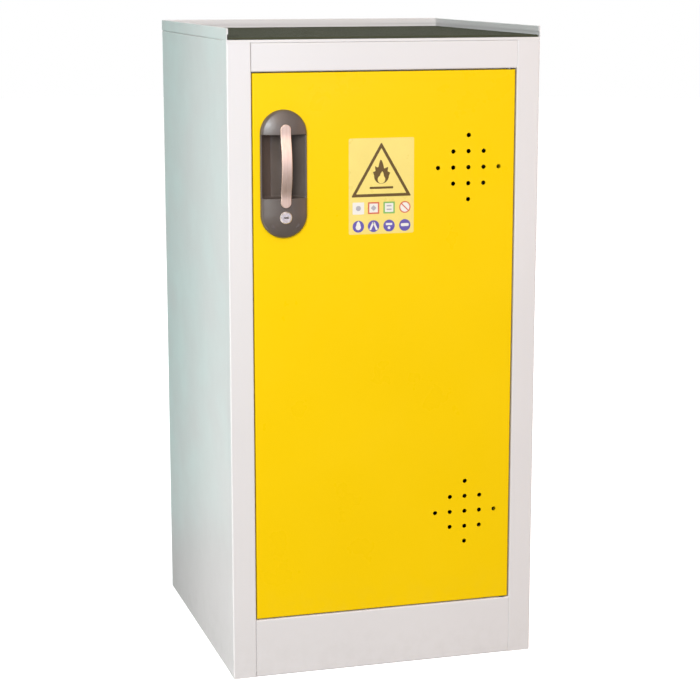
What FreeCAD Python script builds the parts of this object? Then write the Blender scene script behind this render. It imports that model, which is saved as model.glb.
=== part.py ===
import FreeCAD, Part
import cmath
import math
import os

from FreeCAD import Vector

# Flammable storage cabinet: folded sheet-steel case with a lipped worktop, one inset
# hinged door with a key-operated three-point lock, two tray shelves and a spill sump.
#
# Millimetres. It is laid out with x from the left side, y back from the front face and
# z up from the ground; export() moves the origin to the bottom centre of the whole box.

# ---- case ---------------------------------------------------------------------------
WIDTH = 500.0
DEPTH = 500.0
HEIGHT = 1000.8            # upper face of the worktop plate
RIM_HEIGHT = 1018.0        # top of the rim round three sides of the worktop
SHEET = 1.2                # case sheet
BEND = 1.5                 # bend radius on the middle of the sheet
STILE = 37.5               # front face each side of the door
PLINTH_TOP = 94.0
RAIL_BOTTOM = 953.0
NOSING_BOTTOM = 996.3      # the worktop's front edge is turned down to here
FLANGE = 15.0              # inward flanges at the back and top of the side panels
FOOT_FLANGE = 20.0         # flanges that stand on the ground
LIP_FRONT = 22.5           # front face of the lips that the door closes on
LIP_WIDTH = 11.5
SEAM = 0.1                 # gap of a butt seam between two sheets
MAT = 3.2                  # rubber mat on the worktop
HEM = 9.0                  # depth of the rim's folded-over edge
HEM_GAP = 0.3              # between the two layers of that edge

# ---- door ---------------------------------------------------------------------------
DOOR_LEFT = 39.0
DOOR_RIGHT = 460.0
DOOR_BOTTOM = 96.0
DOOR_TOP = 951.0
DOOR_DEPTH = 20.0
DOOR_SHEET = 1.0
DOOR_LIP = 20.0            # width of the return round the back of the door
DOOR_EDGE = 1.8            # outside radius of the door's front edges
VENT_X = 384.0
VENT_ROWS = (801.0, 246.0)
VENT_PITCH = 25.0
VENT_RADIUS = 3.5
STIFFENER = (215.0, 265.0)

# ---- hinges: pin and plastic bush at the top and bottom of the door --------------------
HINGE_X = 452.0
HINGE_Y = 6.0
PIN_RADIUS = 3.0
PIN_CLEARANCE = 0.05
BUSH_RADIUS = 4.5
BUSH_FLANGE = 5.5
BUSH_LENGTH = 8.0
THRUST_GAP = 0.3           # between bush flange and case
PLATE = 3.0                # hinge plate in the door
BRACKET = 4.0              # hinge bracket in the case

# ---- handle -------------------------------------------------------------------------
HANDLE_X = 86.0
HANDLE_Z = 799.0
HOUSING_RADIUS = 36.25
HOUSING_LENGTH = 195.0
HOUSING_RIM = 2.0          # straight edge of the housing on the door
HOUSING_RISE = 13.0        # dome above that edge
HOUSING_SHOULDER = 7.0     # radius where the dome meets that edge
WALL = 2.2                 # moulded wall
RECESS_BOTTOM = 762.5
RECESS_TOP = 859.0
RECESS_HALF = 34.0         # half width at the mouth
RECESS_FLOOR_HALF = 16.0
RECESS_DEPTH = 15.0        # behind the door's face
RECESS_RIM = 3.6           # height of the mouth's side edges above the face
RECESS_BOW = 1.0           # how far its side walls bow out
RECESS_CORNER = 2.5        # radius where its walls meet its end walls
CUTOUT_HALF = 34.2         # half width of the door's cut-out for it
MOUTH_EDGE = 0.7           # radius round its mouth
PULL_BOSS = 5.6            # radius of the pads under the pull's feet
PULL_EDGE = 0.8            # radius round the pull's face
PULL_BOTTOM = 748.7
PULL_TOP = 875.0
PULL_WIDTH = 16.0
PULL_THICK = 2.8
PULL_BACK = 15.2           # back of the pull's feet above the door's face
PULL_FOOT = 13.0
PULL_BOW = (50.0, 120.4)   # bend radii at the feet and at the crown
PULL_SLOPE = math.radians(17.06)
PULL_INSET = 7.2           # stud to end of the pull
PULL_PROUD = 25.55         # highest point of the pull above the door's face

# ---- lock ---------------------------------------------------------------------------
LOCK_Z = 734.0
LOCK_FACE = 17.5           # front of the cylinder above the door's face
LOCK_SEAT = -12.4          # the collar is let into the dome down to here
COLLAR_RADIUS = 9.3
BARREL_RADIUS = 8.0
PLUG_RADIUS = 5.5
TAIL = 7.0                 # square tail across its flats
TAIL_PIN = 3.0             # round end of the tail, radius
FIT = 0.05                 # radial clearance of what turns in the lock
TONGUE_REACH = 44.0
TONGUE_WIDTH = 16.0
TONGUE_Y = (24.7, 26.7)
MOUNT_Y = (27.2, 28.4)     # plate that carries the lock case
ROD_Y = (29.0, 32.0)
CASE_BACK = 34.0
MODULE = 1.0
TEETH = 16
PRESSURE = math.radians(20.0)
BACKLASH = 0.16
ADDENDUM = 0.8
DEDENDUM = 1.25
ROD_WIDTH = 10.0
ROD_TAIL = 21.0            # rack below the lock's axis
UPPER_END = 939.5
LOWER_END = 107.5
GUIDE_GAP = 0.35

# ---- hazard label -------------------------------------------------------------------
LABEL_X = (189.5, 294.5)
LABEL_Z = (702.0, 850.0)
LABEL_THICK = 0.25

# ---- inside -------------------------------------------------------------------------
UPRIGHT_Y = (50.0, 440.0)  # front faces of the front and rear shelf uprights
UPRIGHT_WIDTH = 28.0
UPRIGHT_DEPTH = 10.8
UPRIGHT_Z = (117.0, 960.0)
SLOT_PITCH = 25.0
SLOT = (12.0, 4.0)
SLOT_FIRST = 155.0
SHELF_SLOTS = (9, 19)      # slots, counted from the lowest, that carry the shelves
SHELF_Y = (46.0, 480.0)
SHELF_SIDE = 12.6          # shelf edge to the case's outside
SHELF_WALL = 28.0          # height of the shelf's upturned edges
SHELF_SHEET = 1.0
SUMP_X = (54.0, 446.0)
SUMP_Y = (44.0, 484.0)
SUMP_HEIGHT = 50.0
GRATE_HEIGHT = 30.0
GRATE_HOLE = 6.0
GRATE_PITCH = 34.0

ORIGIN = Vector(WIDTH / 2, (DEPTH - PULL_PROUD) / 2, 0)


# ---- shared shapes ------------------------------------------------------------------
def block(x, y, z):
    """Box between three (low, high) pairs."""
    corner = Vector(x[0], y[0], z[0])
    return Part.makeBox(x[1] - x[0], y[1] - y[0], z[1] - z[0], corner)


def pin_y(x, z, radius, low, high):
    return Part.makeCylinder(radius, high - low, Vector(x, low, z), Vector(0, 1, 0))


def pin_z(x, y, radius, low, high):
    return Part.makeCylinder(radius, high - low, Vector(x, y, low), Vector(0, 0, 1))


def fuse(shapes):
    return shapes[0].multiFuse(shapes[1:]).removeSplitter()


def mirrored(shape):
    return shape.mirror(Vector(WIDTH / 2, 0, 0), Vector(1, 0, 0))


def prism(outline, y):
    """Outline of (x, z) points run from the first y to the second."""
    corners = [Vector(x, y[0], z) for x, z in outline]
    face = Part.Face(Part.makePolygon(corners + corners[:1]))
    return face.extrude(Vector(0, y[1] - y[0], 0))


def hexagon(x, z, across, y):
    radius = across / math.sqrt(3)
    turns = [math.radians(60 * i + 30) for i in range(6)]
    return prism([(x + radius * math.cos(a), z + radius * math.sin(a)) for a in turns], y)


def edges_where(shape, test):
    return [e for e in shape.Edges if all(test(v.Point) for v in e.Vertexes)]


def offset_path(points, radii, offset):
    """One face of a folded sheet: its ends and, at each fold, an arc's three points."""
    along = [(b - a) / abs(b - a) for a, b in zip(points, points[1:])]
    path = [[points[0] + offset * 1j * along[0]]]
    for before, after, corner, radius in zip(along, along[1:], points[1:], radii):
        turn = cmath.phase(after / before)
        side = math.copysign(1, turn)
        reach = radius * math.tan(abs(turn) / 2)
        centre = corner - reach * before + side * radius * 1j * before
        outward = (corner - centre) / abs(corner - centre)
        start = corner - reach * before + offset * 1j * before
        middle = centre + (radius - side * offset) * outward
        end = corner + reach * after + offset * 1j * after
        path.append([start, middle, end])
    path.append([points[-1] + offset * 1j * along[-1]])
    return path


def folded(points, thickness, bends, axis, span):
    """Sheet folded along the middle line through points, run along axis over span.

    Points are (x, y) for axis z, (y, z) for axis x and (x, z) for axis y.
    """
    low, high = span
    lift = {
        "x": lambda p: Vector(low, p.real, p.imag),
        "y": lambda p: Vector(p.real, low, p.imag),
        "z": lambda p: Vector(p.real, p.imag, low),
    }[axis]
    run = {"x": Vector(1, 0, 0), "y": Vector(0, 1, 0), "z": Vector(0, 0, 1)}[axis]
    middle = [complex(*p) for p in points]
    radii = bends if isinstance(bends, list) else [bends] * (len(points) - 2)
    there = offset_path(middle, radii, thickness / 2)
    back = offset_path(middle, radii, -thickness / 2)
    loop = there + [list(reversed(corner)) for corner in reversed(back)]
    edges = []
    for corner, following in zip(loop, loop[1:] + loop[:1]):
        if len(corner) == 3:
            edges.append(Part.Arc(*[lift(p) for p in corner]).toShape())
        edges.append(Part.makeLine(lift(corner[-1]), lift(following[0])))
    return Part.Face(Part.Wire(edges)).extrude(run * (high - low))


def export(name, shape):
    shape = shape.copy()
    shape.translate(-ORIGIN)
    shape.exportStep("parts/" + name + ".step")


# ---- case ---------------------------------------------------------------------------
def side_panel():
    """Left side: stop lip, stile, side wall and rear flange, folded from one sheet."""
    half = SHEET / 2
    under = HEIGHT - SHEET
    back = DEPTH - SHEET - half
    path = [
        (STILE + LIP_WIDTH, LIP_FRONT + half),
        (STILE - half, LIP_FRONT + half),
        (STILE - half, half),
        (half, half),
        (half, back),
        (FLANGE, back),
    ]
    panel = folded(path, SHEET, BEND, "z", (0, under))
    lip = (STILE + SEAM, STILE + LIP_WIDTH + 1)
    behind = (LIP_FRONT - 1, LIP_FRONT + SHEET + 1)
    notches = [
        block(lip, behind, (-1, PLINTH_TOP)),
        block(lip, behind, (RAIL_BOTTOM, HEIGHT)),
        block((-1, STILE), (-1, SHEET + SEAM), (NOSING_BOTTOM - SEAM, HEIGHT)),
        block((-1, STILE), (-1, BEND + SHEET), (under - BEND, HEIGHT)),
    ]
    top_flange = folded(
        [(FLANGE, under - half), (half, under - half), (half, under - 12)],
        SHEET, BEND, "y", (LIP_FRONT + 4, DEPTH - SHEET * 2),
    )
    foot = folded(
        [(FOOT_FLANGE, half), (half, half), (half, 12)],
        SHEET, BEND, "y", (LIP_FRONT + 4, DEPTH - SHEET * 2),
    )
    corner = (LIP_FRONT + 4, DEPTH - SHEET * 2)
    square_edges = [
        block((-1, SHEET), corner, (under - BEND - half, HEIGHT)),
        block((-1, SHEET), corner, (-1, BEND + half)),
    ]
    return fuse([panel.cut(notches + square_edges), top_flange, foot])


def back_panel():
    return block((SEAM + 1, WIDTH - SEAM - 1), (DEPTH - SHEET, DEPTH), (1, HEIGHT - SHEET - SEAM))


def top_panel():
    """Worktop plate with a hemmed rim on three sides and a turned-down front edge."""
    half = SHEET / 2
    plate = HEIGHT - half
    crest = RIM_HEIGHT - half
    outer = half
    inner = half + SHEET + HEM_GAP
    hem_bend = (SHEET + HEM_GAP) / 2 - 0.02
    hem_end = RIM_HEIGHT - HEM
    side = [(inner, hem_end), (inner, crest), (outer, crest), (outer, plate)]
    across = [(WIDTH - x, z) for x, z in reversed(side)]
    bends = [hem_bend, hem_bend, BEND, BEND, hem_bend, hem_bend]
    sides = folded(side + across, SHEET, bends, "y", (0, DEPTH))
    rear = folded(
        [(DEPTH - 30, plate), (DEPTH - outer, plate), (DEPTH - outer, crest),
         (DEPTH - inner, crest), (DEPTH - inner, hem_end)],
        SHEET, [BEND, hem_bend, hem_bend], "x", (SHEET, WIDTH - SHEET),
    )
    nosing = folded(
        [(half, NOSING_BOTTOM), (half, plate), (30, plate)],
        SHEET, BEND, "x", (SEAM, WIDTH - SEAM),
    )
    square_edge = block((SHEET + BEND, WIDTH - SHEET - BEND), (-1, BEND + half), (990, HEIGHT + 1))
    return fuse([sides.cut(square_edge), rear, nosing])


def worktop_mat():
    inset = SHEET * 2 + HEM_GAP + 0.5
    return block((inset, WIDTH - inset), (0.6, DEPTH - inset), (HEIGHT, HEIGHT + MAT))


def cross_member(path, lip_span):
    """Rail or plinth between the stiles; its stop lip stays clear of the stiles' lips."""
    member = folded(path, SHEET, BEND, "x", (STILE + SEAM, WIDTH - STILE - SEAM))
    behind = (LIP_FRONT - BEND, LIP_FRONT + SHEET + 1)
    end = (STILE, STILE + LIP_WIDTH + 0.3)
    corner = block(end, behind, lip_span)
    return member.cut([corner, mirrored(corner)])


def top_rail():
    half = SHEET / 2
    path = [
        (LIP_FRONT + half, RAIL_BOTTOM - 12),
        (LIP_FRONT + half, RAIL_BOTTOM + half),
        (half, RAIL_BOTTOM + half),
        (half, NOSING_BOTTOM - SEAM - half),
        (FLANGE, NOSING_BOTTOM - SEAM - half),
    ]
    rail = cross_member(path, (RAIL_BOTTOM - 13, RAIL_BOTTOM))
    hole = pin_z(HINGE_X, HINGE_Y, PIN_RADIUS, RAIL_BOTTOM - 1, RAIL_BOTTOM + SHEET + 1)
    return rail.cut(hole)


def plinth():
    half = SHEET / 2
    path = [
        (LIP_FRONT + half, PLINTH_TOP + 12),
        (LIP_FRONT + half, PLINTH_TOP - half),
        (half, PLINTH_TOP - half),
        (half, half),
        (FOOT_FLANGE, half),
    ]
    member = cross_member(path, (PLINTH_TOP, PLINTH_TOP + 13))
    hole = pin_z(HINGE_X, HINGE_Y, PIN_RADIUS, PLINTH_TOP - SHEET - 1, PLINTH_TOP + 1)
    return member.cut(hole)


def floor_pan():
    inset = SHEET * 1.5 + SEAM
    path = [
        (inset, PLINTH_TOP + 20),
        (inset, PLINTH_TOP - SHEET / 2),
        (WIDTH - inset, PLINTH_TOP - SHEET / 2),
        (WIDTH - inset, PLINTH_TOP + 20),
    ]
    return folded(path, SHEET, BEND, "y", (LIP_FRONT + SHEET + 0.5, DEPTH - SHEET * 2 - 0.5))


# ---- inside -------------------------------------------------------------------------
def slot_height(number):
    return SLOT_FIRST + number * SLOT_PITCH


def shelf_upright(front):
    """Slotted channel on the left wall, with its open side to the wall."""
    half = SHEET / 2
    web = SHEET + UPRIGHT_DEPTH - half
    near = front + half
    far = front + UPRIGHT_WIDTH - half
    path = [(SHEET, near), (web, near), (web, far), (SHEET, far)]
    channel = folded(path, SHEET, BEND, "z", UPRIGHT_Z)
    middle = front + UPRIGHT_WIDTH / 2
    count = int((UPRIGHT_Z[1] - SLOT_FIRST) / SLOT_PITCH) + 1
    slots = [
        block(
            (web - 2, web + 2),
            (middle - SLOT[0] / 2, middle + SLOT[0] / 2),
            (slot_height(i) - SLOT[1], slot_height(i)),
        )
        for i in range(count)
    ]
    return channel.cut(slots)


def shelf_clip(front, shelf_floor):
    """Clip hooked into one slot, with its tab under the shelf."""
    middle = front + UPRIGHT_WIDTH / 2
    across = (middle - 5.7, middle + 5.7)
    web_front = SHEET + UPRIGHT_DEPTH
    tab = block((web_front - SHEET - 2.2, web_front + 16), across, (shelf_floor - 2, shelf_floor))
    hook = block(
        (web_front - SHEET - 2.2, web_front - SHEET - 0.2), across, (shelf_floor - 12, shelf_floor)
    )
    stop = block((web_front + 0.1, web_front + 2.1), across, (shelf_floor - 16, shelf_floor))
    return fuse([tab, hook, stop])


def shelf_clips():
    clips = []
    for number in SHELF_SLOTS:
        for front in UPRIGHT_Y:
            clip = shelf_clip(front, slot_height(number) - 1)
            clips += [clip, mirrored(clip)]
    return Part.makeCompound(clips)


def tray(x, y, z, sheet, corner):
    """Open-topped pan with rounded upright corners."""
    outside = block(x, y, z)
    upright = edges_where(outside, lambda p: True)
    upright = [e for e in upright if abs(e.Vertexes[0].Z - e.Vertexes[1].Z) > 1]
    outside = outside.makeFillet(corner, upright)
    inside = block(
        (x[0] + sheet, x[1] - sheet), (y[0] + sheet, y[1] - sheet), (z[0] + sheet, z[1] + 1)
    )
    upright = [e for e in inside.Edges if abs(e.Vertexes[0].Z - e.Vertexes[1].Z) > 1]
    return outside.cut(inside.makeFillet(corner - sheet, upright))


def shelf(number):
    floor = slot_height(number) - 1
    side = (SHELF_SIDE, WIDTH - SHELF_SIDE)
    return tray(side, SHELF_Y, (floor, floor + SHELF_WALL), SHELF_SHEET, 3.0)


def sump_tray():
    """Spill tray on the floor of the cabinet, with an outward rim."""
    pan = tray(SUMP_X, SUMP_Y, (PLINTH_TOP, PLINTH_TOP + SUMP_HEIGHT), SHEET, 4.0)
    top = (PLINTH_TOP + SUMP_HEIGHT - SHEET, PLINTH_TOP + SUMP_HEIGHT)
    rim = block((SUMP_X[0] - 4, SUMP_X[1] + 4), (SUMP_Y[0] - 4, SUMP_Y[1] + 4), top)
    mouth = block((SUMP_X[0] + SHEET, SUMP_X[1] - SHEET), (SUMP_Y[0] + SHEET, SUMP_Y[1] - SHEET), top)
    return fuse([pan, rim.cut(mouth)])


def sump_grate():
    """Perforated plate with two turned-down sides, standing in the spill tray."""
    gap = SHEET + 1.0
    left, right = SUMP_X[0] + gap, SUMP_X[1] - gap
    front, rear = SUMP_Y[0] + gap, SUMP_Y[1] - gap
    low = PLINTH_TOP + SHEET
    top = low + GRATE_HEIGHT
    half = SHEET / 2
    path = [(left + half, low), (left + half, top - half), (right - half, top - half), (right - half, low)]
    plate = folded(path, SHEET, BEND, "y", (front, rear))
    columns = int((right - left - 40) / GRATE_PITCH)
    rows = int((rear - front - 40) / GRATE_PITCH)
    holes = []
    for i in range(columns + 1):
        for j in range(rows + 1):
            x = (left + right) / 2 + (i - columns / 2) * GRATE_PITCH
            y = (front + rear) / 2 + (j - rows / 2) * GRATE_PITCH
            holes.append(pin_z(x, y, GRATE_HOLE, top - 3, top + 3))
    return plate.cut(holes)


# ---- hinges -------------------------------------------------------------------------
def hinge_bracket(low):
    plate = block((438, WIDTH - STILE - 0.4), (2 * SHEET, 20), (low, low + BRACKET))
    return plate.cut(pin_z(HINGE_X, HINGE_Y, PIN_RADIUS, low - 1, low + BRACKET + 1))


def hinge_pin(head, bearing, end):
    """Headed pin from the outer face of its bracket, at bearing, to its end in the door."""
    up = 1 if end > bearing else -1
    shank = pin_z(HINGE_X, HINGE_Y, PIN_RADIUS, min(head, end), max(head, end))
    tip = edges_where(shank, lambda p: abs(p.z - end) < 0.01)
    shank = shank.makeChamfer(0.8, tip)
    cap = pin_z(HINGE_X, HINGE_Y, PIN_RADIUS + 1.6, min(head, bearing), max(head, bearing))
    rim = edges_where(cap, lambda p: abs(p.z - head) < 0.01)
    return fuse([cap.makeChamfer(0.5, rim), shank]) if up else shank


def hinge_bush(edge, inward):
    """Flanged black acetal bush in the door's edge; inward is +1 for the lower one."""
    span = sorted((edge - inward * (2.0 - THRUST_GAP), edge))
    flange = pin_z(HINGE_X, HINGE_Y, BUSH_FLANGE, *span)
    body = pin_z(HINGE_X, HINGE_Y, BUSH_RADIUS, *sorted((edge, edge + inward * BUSH_LENGTH)))
    bore = pin_z(HINGE_X, HINGE_Y, PIN_RADIUS + PIN_CLEARANCE, edge - 20, edge + 20)
    return fuse([flange, body]).cut(bore)


def hinge_plate(low):
    """Plate welded inside the end of the door, round the bush."""
    right = DOOR_RIGHT - DOOR_SHEET
    plate = block((420, right), (DOOR_SHEET + 1, DOOR_DEPTH - DOOR_SHEET), (low, low + PLATE))
    return plate.cut(pin_z(HINGE_X, HINGE_Y, BUSH_RADIUS, low - 1, low + PLATE + 1))


# ---- door ---------------------------------------------------------------------------
def vent_holes():
    """Two diamonds of holes, in rows of one, three, five, three and one."""
    holes = []
    for centre in VENT_ROWS:
        for i in range(-2, 3):
            for j in range(-2, 3):
                if abs(i) + abs(j) <= 2:
                    x = VENT_X + i * VENT_PITCH
                    z = centre + j * VENT_PITCH
                    holes.append(pin_y(x, z, VENT_RADIUS, -1, DOOR_SHEET + 1))
    return holes


def stadium(radius, length, y):
    """Upright slot shape about the handle's centre."""
    reach = length / 2 - radius
    middle = block(
        (HANDLE_X - radius, HANDLE_X + radius), y, (HANDLE_Z - reach, HANDLE_Z + reach)
    )
    ends = [pin_y(HANDLE_X, HANDLE_Z + s * reach, radius, *y) for s in (-1, 1)]
    return fuse([middle] + ends)


def door_skin():
    """Folded pan: face, returns on four sides and a lip round the back."""
    x = (DOOR_LEFT, DOOR_RIGHT)
    z = (DOOR_BOTTOM, DOOR_TOP)
    t = DOOR_SHEET
    outside = block(x, (0, DOOR_DEPTH), z)
    face_edges = edges_where(outside, lambda p: abs(p.y) < 0.01)
    outside = outside.makeFillet(DOOR_EDGE, face_edges)
    inside = block((x[0] + t, x[1] - t), (t, DOOR_DEPTH - t), (z[0] + t, z[1] - t))
    face_edges = edges_where(inside, lambda p: abs(p.y - t) < 0.01)
    inside = inside.makeFillet(DOOR_EDGE - t, face_edges)
    opening = block(
        (x[0] + DOOR_LIP, x[1] - DOOR_LIP),
        (DOOR_DEPTH - 2 * t, DOOR_DEPTH + 1),
        (z[0] + DOOR_LIP, z[1] - DOOR_LIP),
    )
    cutout = stadium(CUTOUT_HALF, HOUSING_LENGTH - 2 * (HOUSING_RADIUS - CUTOUT_HALF), (-1, 2))
    bores = [
        pin_z(HINGE_X, HINGE_Y, BUSH_RADIUS, z[0] - 1, z[0] + t + 1),
        pin_z(HINGE_X, HINGE_Y, BUSH_RADIUS, z[1] - t - 1, z[1] + 1),
    ]
    return outside.cut([inside, opening, cutout] + bores + vent_holes())


def door_stiffener():
    half = DOOR_SHEET / 2
    near = DOOR_SHEET + half
    far = DOOR_DEPTH - 2 * DOOR_SHEET - half
    left, right = STIFFENER
    path = [(left - 12, near), (left, near), (left, far), (right, far), (right, near), (right + 12, near)]
    span = (DOOR_BOTTOM + DOOR_LIP + 2, DOOR_TOP - DOOR_LIP - 2)
    return folded(path, DOOR_SHEET, 1.2, "z", span)


# ---- handle -------------------------------------------------------------------------
def bulge(inset):
    """Solid dome over the handle's stadium, inset all round: rim, shoulder arc, crown arc."""
    reach = HOUSING_LENGTH / 2 - HOUSING_RADIUS
    radius = HOUSING_RADIUS - inset
    shoulder = HOUSING_SHOULDER - inset
    rise = HOUSING_RISE - inset
    inner = radius - shoulder
    crown = (inner ** 2 + rise ** 2 - shoulder ** 2) / (2 * (rise - shoulder))
    centre = HOUSING_RIM + rise - crown
    lean = math.atan2(inner, crown - rise)

    def at(x, y, z):
        return Vector(HANDLE_X + x, -y, z)

    def around(middle_x, middle_y, r, angle, z):
        return at(middle_x + r * math.sin(angle), middle_y + r * math.cos(angle), z)

    def half_outline(z):
        """Edges from the rim's foot up over the shoulder to the top of the crown."""
        foot = at(radius, 0, z)
        edge = at(radius, HOUSING_RIM, z)
        turn = (lean + math.pi / 2) / 2
        bend = around(inner, HOUSING_RIM, shoulder, turn, z)
        join = around(0, centre, crown, lean, z)
        slope = around(0, centre, crown, lean / 2, z)
        top = at(0, HOUSING_RIM + rise, z)
        return [
            Part.makeLine(foot, edge),
            Part.Arc(edge, bend, join).toShape(),
            Part.Arc(join, slope, top).toShape(),
        ]

    def half_section(z):
        edges = half_outline(z)
        edges.append(Part.makeLine(at(0, HOUSING_RIM + rise, z), at(0, 0, z)))
        edges.append(Part.makeLine(at(0, 0, z), at(radius, 0, z)))
        return Part.Face(Part.Wire(edges))

    low, high = HANDLE_Z - reach, HANDLE_Z + reach
    right = half_section(low).extrude(Vector(0, 0, 2 * reach))
    left = right.mirror(at(0, 0, 0), Vector(1, 0, 0))
    bottom = half_section(low).revolve(at(0, 0, low), Vector(0, 1, 0), 180)
    top = half_section(high).revolve(at(0, 0, high), Vector(0, -1, 0), 180)
    return fuse([right, left, bottom, top])


def recess(grow):
    """Finger recess: sloping side walls, bowed a little, and a flat floor, grown all round."""
    mouth = RECESS_HALF + grow
    floor = RECESS_FLOOR_HALF + grow
    depth = RECESS_DEPTH + grow
    low = RECESS_BOTTOM - grow
    at = lambda x, y: Vector(HANDLE_X + x, y, low)
    bow = ((mouth + floor) / 2 + RECESS_BOW, (depth - RECESS_RIM) / 2 + RECESS_BOW)
    wire = Part.Wire([
        Part.makeLine(at(-mouth, -30), at(-mouth, -RECESS_RIM)),
        Part.Arc(at(-mouth, -RECESS_RIM), at(-bow[0], bow[1]), at(-floor, depth)).toShape(),
        Part.makeLine(at(-floor, depth), at(floor, depth)),
        Part.Arc(at(floor, depth), at(bow[0], bow[1]), at(mouth, -RECESS_RIM)).toShape(),
        Part.makeLine(at(mouth, -RECESS_RIM), at(mouth, -30)),
        Part.makeLine(at(mouth, -30), at(-mouth, -30)),
    ])
    height = RECESS_TOP - RECESS_BOTTOM + 2 * grow
    tool = Part.Face(wire).extrude(Vector(0, 0, height))
    end_edges = [e for e in tool.Edges if e.BoundBox.ZLength < 0.01 and e.BoundBox.YMax > -29]
    return tool.makeFillet(RECESS_CORNER + grow * 0.45, end_edges)


def round_mouth(shell):
    """Rounds the edges of the recess's mouth: the ends of the domes and its two low sides."""
    mouth = []
    for edge in shell.Edges:
        span = edge.BoundBox
        at_end = span.ZLength < 0.01 and min(abs(span.ZMin - z) for z in (RECESS_BOTTOM, RECESS_TOP)) < 0.01
        between = span.ZMin > RECESS_BOTTOM - 0.01 and span.ZMax < RECESS_TOP + 0.01
        level = span.YLength < 0.01 and abs(span.YMin + RECESS_RIM) < 0.01
        if span.YMax < 0.01 - RECESS_RIM and between and at_end != level:
            mouth.append(edge)
    return shell.makeFillet(MOUTH_EDGE, mouth)


def clamp_points(upper):
    z = 868.0 if upper else 722.0
    return [(HANDLE_X - 18, z), (HANDLE_X + 18, z)]


def pull_points():
    return [(HANDLE_X, PULL_BOTTOM + PULL_INSET), (HANDLE_X, PULL_TOP - PULL_INSET)]


def handle_housing():
    """Moulded shell: two hollow domes, with the finger recess between them."""
    bowl = recess(WALL)
    behind = block((0, WIDTH), (0, DOOR_DEPTH), (0, HEIGHT))
    between = block((0, WIDTH), (-30, 0), (RECESS_BOTTOM - WALL, RECESS_TOP + WALL))
    over = block((0, WIDTH), (-30, -RECESS_RIM), (RECESS_BOTTOM, RECESS_TOP))
    shell = bulge(0).fuse(bowl.common(behind)).cut(bulge(WALL).cut(between))
    shell = round_mouth(shell.cut([recess(0), over]).removeSplitter())
    added = [pin_y(x, z, 4.0, -11.2, DOOR_SHEET) for x, z in clamp_points(True) + clamp_points(False)]
    added += [pin_y(x, z, PULL_BOSS, -PULL_BACK, -8) for x, z in pull_points()]
    added.append(pin_y(HANDLE_X, LOCK_Z, 12.0, -13.0, -8))
    for solid in added:
        shell = shell.fuse(solid)
    removed = [
        pin_y(HANDLE_X, LOCK_Z, COLLAR_RADIUS, -30, LOCK_SEAT),
        pin_y(HANDLE_X, LOCK_Z, BARREL_RADIUS, -20, -5),
    ]
    removed += [pin_y(x, z, 2.1, -30, 0) for x, z in pull_points()]
    removed += [pin_y(x, z, 1.6, -6, 2) for x, z in clamp_points(True) + clamp_points(False)]
    for solid in removed:
        shell = shell.cut(solid)
    return shell


def pull_strip():
    """Bowed flat bar with round ends and a stud behind each foot."""
    half = (PULL_TOP - PULL_BOTTOM) / 2
    middle = (PULL_TOP + PULL_BOTTOM) / 2
    back = -(PULL_BACK + PULL_THICK / 2)
    turn = half - PULL_FOOT - PULL_BOW[0] * math.tan(PULL_SLOPE / 2)
    path = [
        (back, middle - half),
        (back, middle - turn),
        (back - turn * math.tan(PULL_SLOPE), middle),
        (back, middle + turn),
        (back, middle + half),
    ]
    bends = [PULL_BOW[0], PULL_BOW[1], PULL_BOW[0]]
    side = (HANDLE_X - PULL_WIDTH / 2, HANDLE_X + PULL_WIDTH / 2)
    bar = folded(path, PULL_THICK, bends, "x", side)
    reach = half - PULL_WIDTH / 2
    keep = [block(side, (-40, 0), (middle - reach, middle + reach))]
    keep += [pin_y(HANDLE_X, middle + s * reach, PULL_WIDTH / 2, -40, 0) for s in (-1, 1)]
    bar = bar.common(fuse(keep))
    front = -PULL_BACK - PULL_THICK + 0.05
    face_edges = [e for e in bar.Edges if e.BoundBox.YMax < front and e.BoundBox.XLength < 8.1]
    bar = bar.makeFillet(PULL_EDGE, face_edges)
    studs = [pin_y(x, z, 2.0, -PULL_BACK, -3.5) for x, z in pull_points()]
    return fuse([bar] + studs)


def pull_nuts():
    nuts = []
    for x, z in pull_points():
        nut = hexagon(x, z, 7.0, (-8, -4.8))
        nuts.append(nut.cut(pin_y(x, z, 2.0, -10, 0)))
    return Part.makeCompound(nuts)


def clamp_plate_upper():
    z = (RECESS_TOP + WALL + 0.6, HANDLE_Z + HOUSING_LENGTH / 2 + 8)
    plate = block((HANDLE_X - 42, HANDLE_X + 42), (DOOR_SHEET, DOOR_SHEET + 2), z)
    return plate.cut([pin_y(x, z, 2.2, 0, 4) for x, z in clamp_points(True)])


def clamp_plate_lower():
    z = (HANDLE_Z - HOUSING_LENGTH / 2 - 8, RECESS_BOTTOM - WALL - 0.6)
    plate = block((HANDLE_X - 42, HANDLE_X + 42), (DOOR_SHEET, DOOR_SHEET + 2), z)
    holes = [pin_y(x, z, 2.2, 0, 4) for x, z in clamp_points(False)]
    holes.append(pin_y(HANDLE_X, LOCK_Z, BARREL_RADIUS + 0.5, 0, 4))
    return plate.cut(holes)


def screw_y(x, z, radius, head, tip, seat, top):
    """Pan-head screw along y: shank from tip to seat, head with a cross recess from seat to top."""
    shank = pin_y(x, z, radius, tip, seat)
    cap = pin_y(x, z, head, seat, top)
    rim = edges_where(cap, lambda p: abs(p.y - top) < 0.01)
    arm, half, floor = head * 0.55, head * 0.13, top - 1.0
    cross = [
        block((x - arm, x + arm), (floor, top + 1), (z - half, z + half)),
        block((x - half, x + half), (floor, top + 1), (z - arm, z + arm)),
    ]
    return fuse([cap.makeFillet(0.6, rim), shank]).cut(cross)


def clamp_screws():
    points = clamp_points(True) + clamp_points(False)
    seat = DOOR_SHEET + 2
    return Part.makeCompound([screw_y(x, z, 1.6, 3.4, -5.5, seat, seat + 2.2) for x, z in points])


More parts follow.
